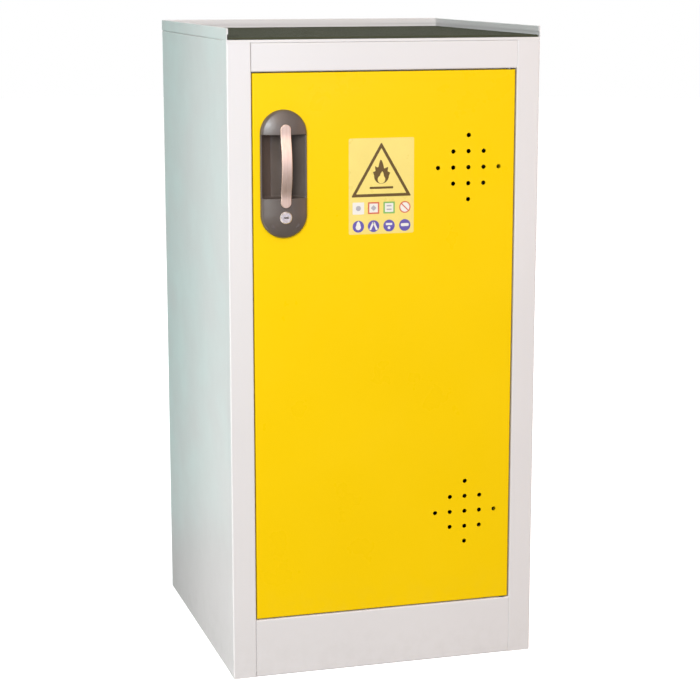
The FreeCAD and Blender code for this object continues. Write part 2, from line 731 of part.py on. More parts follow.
# ---- lock ---------------------------------------------------------------------------
def lock_barrel():
    collar = pin_y(HANDLE_X, LOCK_Z, COLLAR_RADIUS, -LOCK_FACE, LOCK_SEAT)
    rim = edges_where(collar, lambda p: abs(p.y + LOCK_FACE) < 0.01)
    body = pin_y(HANDLE_X, LOCK_Z, BARREL_RADIUS, LOCK_SEAT, 4)
    bore = pin_y(HANDLE_X, LOCK_Z, PLUG_RADIUS + FIT, -20, 5)
    return fuse([collar.makeChamfer(1.1, rim), body]).cut(bore)


def lock_nut():
    nut = hexagon(HANDLE_X, LOCK_Z, 21.0, (-8, -4))
    return nut.cut(pin_y(HANDLE_X, LOCK_Z, BARREL_RADIUS, -10, 0))


def square_tail(across, y):
    side = across / 2
    return block((HANDLE_X - side, HANDLE_X + side), y, (LOCK_Z - side, LOCK_Z + side))


def lock_plug():
    """Turning core with its keyway, square tail and round end."""
    core = pin_y(HANDLE_X, LOCK_Z, PLUG_RADIUS, 0.3 - LOCK_FACE, 4)
    tail = square_tail(TAIL, (4, ROD_Y[1]))
    end = pin_y(HANDLE_X, LOCK_Z, TAIL_PIN, ROD_Y[1], CASE_BACK + 2)
    keyway = block((HANDLE_X - 3.6, HANDLE_X + 3.6), (-LOCK_FACE - 1, -4), (LOCK_Z - 0.9, LOCK_Z + 0.9))
    return fuse([core, tail, end]).cut(keyway)


def lock_tongue():
    """Latch arm, hanging down when the lock is open."""
    y = TONGUE_Y
    hub = pin_y(HANDLE_X, LOCK_Z, 10.0, *y)
    half = TONGUE_WIDTH / 2
    arm = block((HANDLE_X - half, HANDLE_X + half), y, (LOCK_Z - TONGUE_REACH, LOCK_Z))
    corners = [e for e in arm.Edges if all(abs(v.Z - LOCK_Z + TONGUE_REACH) < 0.01 for v in e.Vertexes)]
    corners = [e for e in corners if abs(e.Vertexes[0].Y - e.Vertexes[1].Y) > 1]
    return fuse([hub, arm.makeFillet(4.0, corners)]).cut(square_tail(TAIL, (y[0] - 1, y[1] + 1)))


def involute_half(radius, base, half):
    """Half a tooth's angle at a radius, given half its angle at the pitch circle."""
    angle = math.acos(min(1.0, base / radius))
    return half + math.tan(PRESSURE) - PRESSURE - math.tan(angle) + angle


def lock_pinion():
    """Spur pinion that drives both racks, with a hub through the mounting plate."""
    pitch = MODULE * TEETH / 2
    base = pitch * math.cos(PRESSURE)
    tip = pitch + ADDENDUM * MODULE
    root = pitch - DEDENDUM * MODULE
    half = math.pi / (2 * TEETH) - BACKLASH / (2 * pitch)
    radii = [base + (tip - base) * i / 5 for i in range(6)]
    flank = [(root, involute_half(base, base, half))]
    flank += [(r, involute_half(r, base, half)) for r in radii]
    outline = []
    for tooth in range(TEETH):
        centre = 2 * math.pi * tooth / TEETH
        for r, wide in flank:
            outline.append((r, centre - wide))
        for r, wide in reversed(flank):
            outline.append((r, centre + wide))
    points = [(HANDLE_X + r * math.cos(a), LOCK_Z + r * math.sin(a)) for r, a in outline]
    gear = prism(points, (ROD_Y[0] + 0.1, ROD_Y[1] - 0.1))
    hub = pin_y(HANDLE_X, LOCK_Z, 6.2, TONGUE_Y[1], ROD_Y[0] + 0.1)
    return fuse([gear, hub]).cut(square_tail(TAIL, (TONGUE_Y[1] - 1, CASE_BACK)))


def lock_clip():
    ring = pin_y(HANDLE_X, LOCK_Z, 5.5, CASE_BACK + 0.3, CASE_BACK + 1.1)
    return ring.cut(pin_y(HANDLE_X, LOCK_Z, TAIL_PIN, CASE_BACK, CASE_BACK + 2))


def lock_rod(reach):
    """Rod that rises reach above the lock's axis, with its rack left of the pinion."""
    step = math.pi * MODULE
    pitch = HANDLE_X - MODULE * TEETH / 2
    root = pitch - DEDENDUM * MODULE
    tip = pitch + ADDENDUM * MODULE
    at_root = step / 4 - BACKLASH / 2 + DEDENDUM * MODULE * math.tan(PRESSURE)
    at_tip = step / 4 - BACKLASH / 2 - ADDENDUM * MODULE * math.tan(PRESSURE)
    outline = [(root - ROD_WIDTH, LOCK_Z - ROD_TAIL), (root, LOCK_Z - ROD_TAIL)]
    for i in range(-6, 2):
        centre = LOCK_Z + (i + 0.5) * step
        outline += [(root, centre - at_root), (tip, centre - at_tip)]
        outline += [(tip, centre + at_tip), (root, centre + at_root)]
    top = LOCK_Z + reach
    outline += [(root, top - 3), (root - 3, top), (root - ROD_WIDTH + 3, top)]
    outline.append((root - ROD_WIDTH, top - 3))
    return prism(outline, ROD_Y)


def upper_rod():
    return lock_rod(UPPER_END - LOCK_Z)


def lower_rod():
    rod = lock_rod(LOCK_Z - LOWER_END)
    rod.rotate(Vector(HANDLE_X, 0, LOCK_Z), Vector(0, 1, 0), 180)
    return rod


def case_points():
    return [(HANDLE_X + 32, 750.0), (HANDLE_X + 32, 710.0), (HANDLE_X, 752.0)]


def lock_spacers():
    tubes = []
    for x, z in case_points():
        tube = pin_y(x, z, 4.0, DOOR_SHEET + 2, MOUNT_Y[0])
        tubes.append(tube.cut(pin_y(x, z, 2.0, 0, 30)))
    return Part.makeCompound(tubes)


def lock_mount_plate():
    plate = block((HANDLE_X - 24, HANDLE_X + 40), MOUNT_Y, (LOCK_Z - 30, LOCK_Z + 30))
    holes = [pin_y(x, z, 2.0, 20, 30) for x, z in case_points()]
    holes.append(pin_y(HANDLE_X, LOCK_Z, 6.2 + 0.3, 20, 30))
    return plate.cut(holes)


def lock_case():
    """Channel over the pinion and racks, open at both ends for the rods."""
    half = SHEET / 2
    left, right = HANDLE_X - 24 + half, HANDLE_X + 24 - half
    back = CASE_BACK - half
    path = [(left, MOUNT_Y[1]), (left, back), (right, back), (right, MOUNT_Y[1])]
    channel = folded(path, SHEET, 1.0, "z", (LOCK_Z - 30, LOCK_Z + 30))
    return channel.cut(pin_y(HANDLE_X, LOCK_Z, TAIL_PIN + FIT, 30, 40))


def case_screws():
    seat = MOUNT_Y[1]
    return Part.makeCompound([screw_y(x, z, 2.0, 3.6, 3.2, seat, seat + 2.2) for x, z in case_points()])


def rod_x(upper):
    offset = MODULE * TEETH / 2 + DEDENDUM * MODULE + ROD_WIDTH / 2
    return HANDLE_X - offset if upper else HANDLE_X + offset


def guide_points(upper):
    z = 935.5 if upper else 111.5
    return [(rod_x(upper) + side * 11.0, z) for side in (-1, 1)]


def rod_guide(upper):
    """Nylon block on the door's lip, slotted for the rod."""
    x = rod_x(upper)
    z = (920.0, 940.2) if upper else (106.6, 127.0)
    foot = block((x - 15, x + 15), (DOOR_DEPTH, DOOR_DEPTH + 3), z)
    body = block((x - 7.6, x + 7.6), (DOOR_DEPTH, ROD_Y[1] + 3), z)
    slot = block(
        (x - ROD_WIDTH / 2 - GUIDE_GAP, x + ROD_WIDTH / 2 + GUIDE_GAP),
        (ROD_Y[0] - GUIDE_GAP, ROD_Y[1] + GUIDE_GAP),
        (z[0] - 1, z[1] + 1),
    )
    holes = [pin_y(px, pz, 1.5, 15, 30) for px, pz in guide_points(upper)]
    return fuse([foot, body]).cut([slot] + holes)


def guide_screws():
    points = guide_points(True) + guide_points(False)
    seat = DOOR_DEPTH + 3
    return Part.makeCompound([screw_y(x, z, 1.5, 2.8, DOOR_DEPTH, seat, seat + 1.6) for x, z in points])


# ---- label and buffers --------------------------------------------------------------
def hazard_label():
    return block(LABEL_X, (-LABEL_THICK, 0), LABEL_Z)


def door_buffers():
    """Rubber pads on the left stile's lip."""
    x = STILE + LIP_WIDTH / 2
    return Part.makeCompound([pin_y(x, z, 4.0, DOOR_DEPTH + 0.4, LIP_FRONT) for z in (170.0, 877.0)])


# ---- all nodes ----------------------------------------------------------------------
def nodes():
    left = side_panel()
    front_upright, rear_upright = [shelf_upright(front) for front in UPRIGHT_Y]
    bracket_low = PLINTH_TOP - SHEET - BRACKET
    bracket_high = RAIL_BOTTOM + SHEET
    return {
        "side_panel_left": left,
        "side_panel_right": mirrored(left),
        "back_panel": back_panel(),
        "top_panel": top_panel(),
        "worktop_mat": worktop_mat(),
        "top_rail": top_rail(),
        "plinth": plinth(),
        "floor_pan": floor_pan(),
        "upright_front_left": front_upright,
        "upright_front_right": mirrored(front_upright),
        "upright_rear_left": rear_upright,
        "upright_rear_right": mirrored(rear_upright),
        "shelf_clips": shelf_clips(),
        "shelf_lower": shelf(SHELF_SLOTS[0]),
        "shelf_upper": shelf(SHELF_SLOTS[1]),
        "sump_tray": sump_tray(),
        "sump_grate": sump_grate(),
        "hinge_bracket_lower": hinge_bracket(bracket_low),
        "hinge_bracket_upper": hinge_bracket(bracket_high),
        "hinge_pin_lower": hinge_pin(bracket_low - 3, bracket_low, DOOR_BOTTOM + 14),
        "hinge_pin_upper": hinge_pin(bracket_high + BRACKET + 3, bracket_high + BRACKET, DOOR_TOP - 14),
        "door_buffers": door_buffers(),
        "door_skin": door_skin(),
        "door_stiffener": door_stiffener(),
        "hinge_plate_lower": hinge_plate(DOOR_BOTTOM + DOOR_SHEET),
        "hinge_plate_upper": hinge_plate(DOOR_TOP - DOOR_SHEET - PLATE),
        "hinge_bush_lower": hinge_bush(DOOR_BOTTOM, 1),
        "hinge_bush_upper": hinge_bush(DOOR_TOP, -1),
        "handle_housing": handle_housing(),
        "pull_strip": pull_strip(),
        "pull_nuts": pull_nuts(),
        "clamp_plate_upper": clamp_plate_upper(),
        "clamp_plate_lower": clamp_plate_lower(),
        "clamp_screws": clamp_screws(),
        "hazard_label": hazard_label(),
        "lock_barrel": lock_barrel(),
        "lock_nut": lock_nut(),
        "lock_spacers": lock_spacers(),
        "lock_mount_plate": lock_mount_plate(),
        "lock_case": lock_case(),
        "case_screws": case_screws(),
        "rod_guide_upper": rod_guide(True),
        "rod_guide_lower": rod_guide(False),
        "guide_screws": guide_screws(),
        "lock_plug": lock_plug(),
        "lock_tongue": lock_tongue(),
        "lock_pinion": lock_pinion(),
        "lock_clip": lock_clip(),
        "upper_rod": upper_rod(),
        "lower_rod": lower_rod(),
    }


os.makedirs("parts", exist_ok=True)
for node_name, node_shape in nodes().items():
    export(node_name, node_shape)
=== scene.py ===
import math

import bmesh
import bpy
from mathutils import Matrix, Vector


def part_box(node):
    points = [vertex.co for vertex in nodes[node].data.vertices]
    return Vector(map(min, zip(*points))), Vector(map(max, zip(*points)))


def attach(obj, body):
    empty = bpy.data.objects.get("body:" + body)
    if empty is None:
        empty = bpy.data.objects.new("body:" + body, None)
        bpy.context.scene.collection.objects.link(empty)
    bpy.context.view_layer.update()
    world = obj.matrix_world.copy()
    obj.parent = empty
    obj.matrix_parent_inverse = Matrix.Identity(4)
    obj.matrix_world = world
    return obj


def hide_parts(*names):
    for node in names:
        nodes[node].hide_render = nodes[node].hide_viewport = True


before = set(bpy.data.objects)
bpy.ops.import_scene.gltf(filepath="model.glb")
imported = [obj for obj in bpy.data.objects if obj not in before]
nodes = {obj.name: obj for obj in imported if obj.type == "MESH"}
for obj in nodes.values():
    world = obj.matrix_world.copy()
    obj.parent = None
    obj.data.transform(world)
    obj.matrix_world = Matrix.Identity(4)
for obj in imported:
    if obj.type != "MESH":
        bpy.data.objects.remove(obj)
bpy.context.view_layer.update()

MM = 0.001
WHITE = (1.0, 1.0, 1.0)


# ---- materials ----------------------------------------------------------------------
class Shader:
    """A principled material with object-space procedural detail."""

    def __init__(self, name, roughness=0.4, metallic=0.0, **sockets):
        self.material = bpy.data.materials.new(name)
        self.material.use_nodes = True
        self.tree = self.material.node_tree
        self.surface = self.tree.nodes["Principled BSDF"]
        self.surface.inputs["Roughness"].default_value = roughness
        self.surface.inputs["Metallic"].default_value = metallic
        for socket, value in sockets.items():
            self.surface.inputs[socket.replace("_", " ")].default_value = value
        self.place = self.tree.nodes.new("ShaderNodeTexCoord").outputs["Object"]
        self.normal = None

    def link(self, source, target):
        self.tree.links.new(source, target)

    def stretched(self, scale):
        """Object coordinates scaled by a different amount along each axis."""
        node = self.tree.nodes.new("ShaderNodeMapping")
        node.inputs["Scale"].default_value = scale
        self.link(self.place, node.inputs["Vector"])
        return node.outputs["Vector"]

    def noise(self, scale, detail=2.0, rough=0.5, place=None):
        node = self.tree.nodes.new("ShaderNodeTexNoise")
        node.inputs["Scale"].default_value = scale
        node.inputs["Detail"].default_value = detail
        node.inputs["Roughness"].default_value = rough
        self.link(place or self.place, node.inputs["Vector"])
        return node.outputs["Fac"]

    def cells(self, scale):
        """Voronoi cells: (distance, one random value for each cell)."""
        node = self.tree.nodes.new("ShaderNodeTexVoronoi")
        node.inputs["Scale"].default_value = scale
        self.link(self.place, node.inputs["Vector"])
        split = self.tree.nodes.new("ShaderNodeSeparateColor")
        self.link(node.outputs["Color"], split.inputs["Color"])
        return node.outputs["Distance"], split.outputs["Red"]

    def math(self, operation, a, b=None, clamp=False):
        node = self.tree.nodes.new("ShaderNodeMath")
        node.operation = operation
        node.use_clamp = clamp
        for socket, value in zip(node.inputs, (a, b)):
            if value is None:
                continue
            if isinstance(value, (int, float)):
                socket.default_value = value
            else:
                self.link(value, socket)
        return node.outputs["Value"]

    def remap(self, value, low, high, to_low, to_high):
        node = self.tree.nodes.new("ShaderNodeMapRange")
        node.inputs["From Min"].default_value = low
        node.inputs["From Max"].default_value = high
        node.inputs["To Min"].default_value = to_low
        node.inputs["To Max"].default_value = to_high
        self.link(value, node.inputs["Value"])
        return node.outputs["Result"]

    def axis(self, letter):
        node = self.tree.nodes.new("ShaderNodeSeparateXYZ")
        self.link(self.place, node.inputs["Vector"])
        return node.outputs[letter.upper()]

    def blend(self, factor, first, second):
        """Colour between two colours or colour sockets."""
        node = self.tree.nodes.new("ShaderNodeMix")
        node.data_type = "RGBA"
        self.link(factor, node.inputs["Factor"])
        for socket, value in ((node.inputs[6], first), (node.inputs[7], second)):
            if isinstance(value, tuple):
                socket.default_value = (*value, 1.0)
            else:
                self.link(value, socket)
        return node.outputs[2]

    def colour(self, socket):
        self.link(socket, self.surface.inputs["Base Color"])

    def roughness(self, socket):
        self.link(socket, self.surface.inputs["Roughness"])

    def bump(self, height, distance, strength=1.0):
        """Adds relief of that many metres on top of the relief so far."""
        node = self.tree.nodes.new("ShaderNodeBump")
        node.inputs["Distance"].default_value = distance
        node.inputs["Strength"].default_value = strength
        self.link(height, node.inputs["Height"])
        if self.normal is not None:
            self.link(self.normal, node.inputs["Normal"])
        self.normal = node.outputs["Normal"]
        self.link(self.normal, self.surface.inputs["Normal"])


def shade(colour, amount):
    """The colour times an amount, up to 1 in each channel."""
    return tuple(min(1.0, c * amount) for c in colour)


def powder_coat(name, colour, roughness, gloss, sheen, dirt, dirt_top):
    """Baked powder paint: orange peel, slight waves in the sheet, handling marks and dust low down."""
    s = Shader(name, roughness=roughness, Specular_IOR_Level=gloss, Specular_Tint=(*sheen, 1.0))
    drift = s.remap(s.noise(2.6, 2.0), 0.3, 0.7, 0.0, 1.0)
    speck = s.remap(s.noise(1900.0, 1.0), 0.35, 0.75, 0.0, 1.0)
    paint = s.blend(drift, shade(colour, 0.975), shade(colour, 1.015))
    paint = s.blend(s.math("MULTIPLY", speck, 0.22), paint, shade(colour, 0.93))
    low = s.remap(s.axis("z"), 0.0, dirt_top, 1.0, 0.0)
    patches = s.remap(s.noise(46.0, 5.0, 0.62), 0.42, 0.72, 0.0, 1.0)
    dust = s.math("MULTIPLY", s.math("MULTIPLY", low, patches), 0.16, clamp=True)
    s.colour(s.blend(dust, paint, dirt))
    smudge = s.remap(s.noise(11.0, 4.0, 0.6), 0.35, 0.7, roughness - 0.05, roughness + 0.08)
    s.roughness(s.math("ADD", smudge, s.math("MULTIPLY", dust, 0.5)))
    s.bump(s.noise(5.5, 1.0), 0.7 * MM, 0.35)
    s.bump(s.noise(620.0, 2.0, 0.55), 0.12 * MM, 0.45)
    s.bump(s.noise(190.0, 2.0, 0.5), 0.16 * MM, 0.25)
    return s.material


def galvanised():
    """Hot-dip galvanised sheet with its crystal spangle."""
    s = Shader("galvanised_steel", roughness=0.42, metallic=1.0)
    crystal = s.cells(95.0)[1]
    small = s.cells(260.0)[1]
    tone = s.math("ADD", s.math("MULTIPLY", crystal, 0.7), s.math("MULTIPLY", small, 0.3))
    s.colour(s.blend(tone, (0.47, 0.49, 0.50), (0.69, 0.71, 0.72)))
    s.roughness(s.remap(tone, 0.0, 1.0, 0.34, 0.56))
    s.bump(crystal, 0.04 * MM, 0.5)
    s.bump(s.noise(900.0, 2.0), 0.05 * MM, 0.3)
    return s.material


def zinc_plated():
    """Bright zinc plating with a faint passivation tint and fine drawing lines."""
    s = Shader("zinc_plated_steel", roughness=0.3, metallic=1.0)
    tint = s.remap(s.noise(42.0, 3.0), 0.3, 0.7, 0.0, 1.0)
    s.colour(s.blend(tint, (0.62, 0.65, 0.70), (0.74, 0.71, 0.64)))
    lines = s.noise(1.0, 3.0, 0.6, s.stretched((2600.0, 2600.0, 90.0)))
    s.roughness(s.remap(lines, 0.3, 0.7, 0.22, 0.42))
    s.bump(lines, 0.02 * MM, 0.4)
    return s.material


def moulded(name, dark, light, roughness, gloss, grain, depth):
    """Moulded plastic or rubber with a fine eroded grain."""
    s = Shader(name, roughness=roughness, Specular_IOR_Level=gloss)
    cloud = s.remap(s.noise(30.0, 3.0), 0.3, 0.7, 0.0, 1.0)
    s.colour(s.blend(cloud, dark, light))
    fine = s.noise(grain, 3.0, 0.6)
    s.roughness(s.remap(s.noise(75.0, 4.0, 0.6), 0.3, 0.7, roughness - 0.05, roughness + 0.07))
    s.bump(s.cells(grain * 0.7)[0], depth, 0.35)
    s.bump(fine, depth, 0.5)
    return s.material


def nylon():
    """Natural nylon that lets a little light in."""
    s = Shader("white_nylon", roughness=0.46, Subsurface_Weight=0.12, Subsurface_Scale=2 * MM)
    cloud = s.remap(s.noise(120.0, 2.0), 0.3, 0.7, 0.0, 1.0)
    s.colour(s.blend(cloud, (0.74, 0.74, 0.69), (0.82, 0.82, 0.78)))
    s.roughness(s.remap(s.noise(300.0, 3.0), 0.3, 0.7, 0.40, 0.54))
    s.bump(s.noise(1400.0, 2.0), 0.03 * MM, 0.4)
    return s.material


def brushed_pull():
    """Satin metal, brushed along its length."""
    s = Shader("satin_pull_metal", roughness=0.48, metallic=1.0)
    lines = s.noise(1.0, 4.0, 0.65, s.stretched((3400.0, 900.0, 34.0)))
    wide = s.noise(1.0, 2.0, 0.5, s.stretched((520.0, 300.0, 12.0)))
    tone = s.remap(s.math("ADD", lines, wide), 0.7, 1.3, 0.0, 1.0)
    # painted reflection: the warm tint of both colours stands in for the yellow door reflected in the metal
    s.colour(s.blend(tone, (0.67, 0.49, 0.40), (0.78, 0.62, 0.52)))
    s.roughness(s.remap(lines, 0.3, 0.7, 0.40, 0.56))
    s.bump(lines, 0.03 * MM, 0.5)
    return s.material


RING_PHASE = 21000.0       # radians of the turning rings' wave for each metre from the axis


def turned_lock(name, centre, face=None):
    """Nickel plate with faint turning rings about the lock's axis; behind a plug's face, painted shade
    darkens the keyway.
    """
    s = Shader(name, roughness=0.3, metallic=1.0)
    across = s.math("SUBTRACT", s.axis("x"), centre[0])
    along = s.math("SUBTRACT", s.axis("z"), centre[1])
    far = s.math("SQRT", s.math("ADD", s.math("MULTIPLY", across, across), s.math("MULTIPLY", along, along)))
    rings = s.math("SINE", s.math("MULTIPLY", far, RING_PHASE))
    cloud = s.remap(s.noise(260.0, 3.0), 0.3, 0.7, 0.0, 1.0)
    plate = s.blend(cloud, (0.90, 0.78, 0.70), (0.96, 0.86, 0.79))
    if face is not None:
        # painted shade: the keyway deeper than the plug's face is darkened, standing in for the shade inside
        # it
        painted_keyway_shade = s.remap(s.axis("y"), face + 0.2 * MM, face + 0.7 * MM, 0.0, 1.0)
        plate = s.blend(painted_keyway_shade, plate, (0.020, 0.016, 0.012))
    s.colour(plate)
    s.roughness(s.remap(s.noise(500.0, 3.0), 0.3, 0.7, 0.26, 0.40))
    s.bump(rings, 0.012 * MM, 0.5)
    return s.material


def film(name, colour, roughness):
    """Printed vinyl: gloss film with a slight ripple and dot-fine mottling of the ink."""
    s = Shader(name, roughness=roughness, Coat_Weight=0.35, Coat_Roughness=0.16)
    mottle = s.remap(s.noise(900.0, 2.0), 0.35, 0.7, 0.0, 1.0)
    cloud = s.remap(s.noise(28.0, 3.0), 0.3, 0.7, 0.0, 1.0)
    ink = s.blend(cloud, shade(colour, 0.955), shade(colour, 1.02))
    s.colour(s.blend(s.math("MULTIPLY", mottle, 0.3), ink, shade(colour, 0.9)))
    s.roughness(s.remap(s.noise(60.0, 3.0), 0.3, 0.7, roughness - 0.04, roughness + 0.08))
    s.bump(s.noise(70.0, 2.0), 0.15 * MM, 0.3)
    return s.material


lock_low, lock_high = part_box("lock_barrel")
lock_centre = ((lock_low.x + lock_high.x) / 2, (lock_low.z + lock_high.z) / 2)

finishes = {
    "case_paint": powder_coat(
        "case_paint", (0.60, 0.592, 0.580), roughness=0.36, gloss=0.5,
        sheen=WHITE, dirt=(0.40, 0.38, 0.34), dirt_top=90 * MM,
    ),
    "door_paint": powder_coat(
        "door_paint", (0.74, 0.50, 0.0), roughness=0.32, gloss=0.25,
        sheen=(1.0, 0.85, 0.55), dirt=(0.48, 0.36, 0.08), dirt_top=160 * MM,
    ),
    "mat_rubber": moulded(
        "mat_rubber", (0.041, 0.045, 0.026), (0.051, 0.055, 0.033),
        roughness=0.85, gloss=0.12, grain=1200.0, depth=0.08 * MM,
    ),
    "buffer_rubber": moulded(
        "buffer_rubber", (0.024, 0.024, 0.025), (0.034, 0.034, 0.035),
        roughness=0.66, gloss=0.3, grain=1500.0, depth=0.06 * MM,
    ),
    "handle_plastic": moulded(
        "handle_plastic", (0.072, 0.057, 0.047), (0.086, 0.069, 0.058),
        roughness=0.36, gloss=0.65, grain=1700.0, depth=0.06 * MM,
    ),
    "galvanised_steel": galvanised(),
    "zinc_plated_steel": zinc_plated(),
    "white_nylon": nylon(),
    "black_acetal": moulded(
        "black_acetal", (0.022, 0.022, 0.022), (0.032, 0.032, 0.032),
        roughness=0.45, gloss=0.5, grain=1500.0, depth=0.04 * MM,
    ),
    "satin_pull_metal": brushed_pull(),
    "polished_lock_metal": turned_lock("polished_lock_metal", lock_centre),
    "label_film": film("label_film", (0.72, 0.585, 0.155), 0.30),
}

for node in nodes.values():
    for slot in node.material_slots:
        slot.material = finishes[slot.material.name.split(".")[0]]
# The plug gets its own copy of the lock metal, with painted shade in its keyway.
plug_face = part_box("lock_plug")[0].y
nodes["lock_plug"].material_slots[0].material = turned_lock("lock_plug_metal", lock_centre, plug_face)


# ---- pieces -------------------------------------------------------------------------
def add_piece(name, build, body, stands_for, materials):
    """A piece built by a function, riding a body, in place of one CAD node."""
    bm = bmesh.new()
    build(bm)
    bmesh.ops.recalc_face_normals(bm, faces=bm.faces)
    mesh = bpy.data.meshes.new(name)
    bm.to_mesh(mesh)
    bm.free()
    for material in materials:
        mesh.materials.append(material)
    piece = bpy.data.objects.new(name, mesh)
    bpy.context.scene.collection.objects.link(piece)
    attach(piece, body)
    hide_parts(stands_for)


def ribbed_mat(bm):
    """Rubber mat with fine ribs from side to side, on the worktop mat's outline."""
    low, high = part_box("worktop_mat")
    pitch = 3.0 * MM
    foot, crown = 0.25 * MM, 0.65 * MM     # where a rib's flank starts and ends, from both ends of a pitch
    valley = high.z - 1.0 * MM
    count = int((high.y - low.y - 2 * MM) / pitch)
    margin = ((high.y - low.y) - count * pitch) / 2
    profile = [(low.y, low.z), (low.y, valley)]
    for i in range(count):
        y = low.y + margin + i * pitch
        profile += [
            (y + foot, valley), (y + crown, high.z),
            (y + pitch - crown, high.z), (y + pitch - foot, valley),
        ]
    profile += [(high.y, valley), (high.y, low.z)]
    ends = [[bm.verts.new((x, y, z)) for y, z in profile] for x in (low.x, high.x)]
    for i in range(len(profile)):
        j = (i + 1) % len(profile)
        bm.faces.new((ends[0][i], ends[0][j], ends[1][j], ends[1][i]))
    for end in ends:
        bm.faces.new(end)


add_piece(
    "worktop_mat_ribbed", ribbed_mat, "cabinet", "worktop_mat",
    [finishes["mat_rubber"]],
)


# ---- label --------------------------------------------------------------------------
label_low, label_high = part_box("hazard_label")
label_middle = (label_low.x + label_high.x) / 2
INK = {
    "label_film": finishes["label_film"],
    "print_dark": film("print_dark", (0.105, 0.060, 0.008), 0.34),
    "print_white": film("print_white", (0.68, 0.665, 0.60), 0.30),
    "print_grey": film("print_grey", (0.36, 0.35, 0.37), 0.30),
    "print_red": film("print_red", (0.55, 0.13, 0.07), 0.30),
    "print_green": film("print_green", (0.19, 0.40, 0.10), 0.30),
    "print_blue": film("print_blue", (0.105, 0.080, 0.33), 0.30),
}
INK_NUMBER = {name: i for i, name in enumerate(INK)}
SHEET = 0.21 * MM          # film on the door
PRINT = 0.015 * MM         # each printed layer on the film
COLUMNS = (15.4, 39.9, 65.0, 90.6)     # middles of the tiles and discs, in mm from the left edge


def rounded(width, height, radius, steps=6):
    """Outline of a rectangle with round corners, about the origin, anticlockwise."""
    points = []
    for corner in range(4):
        sx, sz = ((1, 1), (-1, 1), (-1, -1), (1, -1))[corner]
        for i in range(steps + 1):
            turn = math.pi / 2 * (corner + i / steps)
            points.append((
                sx * (width / 2 - radius) + radius * math.cos(turn),
                sz * (height / 2 - radius) + radius * math.sin(turn),
            ))
    return points


def circle(radius, count=48):
    turns = [2 * math.pi * i / count for i in range(count)]
    return [(radius * math.cos(a), radius * math.sin(a)) for a in turns]


def polar(radius_at, count=96):
    """Closed outline from a radius for each angle away from straight up."""
    turns = [2 * math.pi * i / count - math.pi for i in range(count)]
    return [(-radius_at(a) * math.sin(a), radius_at(a) * math.cos(a)) for a in turns]


def moved(points, x, z, turn=0.0):
    c, s = math.cos(turn), math.sin(turn)
    return [(x + px * c - pz * s, z + px * s + pz * c) for px, pz in points]


def layer(bm, outline, level, ink, hole=None, thickness=PRINT):
    """Thin closed plate in front of the label's back, at a level of printed layers."""
    back = label_high.y - (SHEET + PRINT * level if level else 0)
    front = back - thickness
    rims = []
    for loop in (outline, hole) if hole else (outline,):
        rims.append([[bm.verts.new((x, y, z)) for x, z in loop] for y in (front, back)])
    faces = []
    for fore, aft in rims:
        count = len(fore)
        for i in range(count):
            j = (i + 1) % count
            faces.append(bm.faces.new((fore[i], fore[j], aft[j], aft[i])))
    for side in (0, 1):
        if hole:
            outer, inner = rims[0][side], rims[1][side]
            for i in range(len(outer)):
                j = (i + 1) % len(outer)
                faces.append(bm.faces.new((outer[i], outer[j], inner[j], inner[i])))
        else:
            faces.append(bm.faces.new(rims[0][side]))
    for face in faces:
        face.material_index = INK_NUMBER[ink]


def triangle(tip, corner_radius, steps=8):
    """Rounded triangle on its base, about its centroid; its corners would reach the tip if sharp."""
    points = []
    for corner in range(3):
        middle = math.pi / 2 + corner * 2 * math.pi / 3
        reach = tip - 2 * corner_radius
        for i in range(steps + 1):
            turn = middle - math.pi / 3 + 2 * math.pi / 3 * i / steps
            points.append((
                reach * math.cos(middle) + corner_radius * math.cos(turn),
                reach * math.sin(middle) + corner_radius * math.sin(turn),
            ))
    return points


def peak(angle, middle, width):
    """1 at the middle angle, falling to 0 at a width to either side."""
    return max(0.0, 1.0 - abs(angle - middle) / width) ** 1.4


def flame(angle):
    """Radius of a plain flame with five uneven tongues."""
    tongues = 14.5 * peak(angle, 0.04, 0.42) + 6.8 * peak(angle, 0.60, 0.32) + 5.6 * peak(angle, -0.66, 0.32)
    return (11.9 + tongues + 3.4 * peak(angle, 1.15, 0.34) + 3.0 * peak(angle, -1.25, 0.34)) * MM


def ember(angle):
    """Radius of the light heart of the flame."""
    return (6.1 + 6.6 * peak(angle, -0.12, 0.62)) * MM


def drop(angle):
    """Radius of a drop with its point up."""
    return (4.2 + 5.4 * peak(angle, 0.0, 0.95)) * MM


def warning_sign(bm, base):
    """Triangle with a flame over a bar, above the label's lower edge."""
    centre = (label_middle - 0.2 * MM, base + 85.6 * MM)
    layer(
        bm, moved(triangle(56.0 * MM, 1.3 * MM), *centre), 1, "print_dark",
        hole=moved(triangle(46.8 * MM, 0.5 * MM), *centre),
    )
    fire = (label_middle, base + 89.5 * MM)
    layer(
        bm, moved(polar(flame), *fire), 1, "print_dark",
        hole=moved(polar(ember), fire[0], fire[1] - 5.3 * MM),
    )
    layer(bm, moved(rounded(38.0 * MM, 3.4 * MM, 0.8 * MM), label_middle, base + 71.5 * MM), 1, "print_dark")


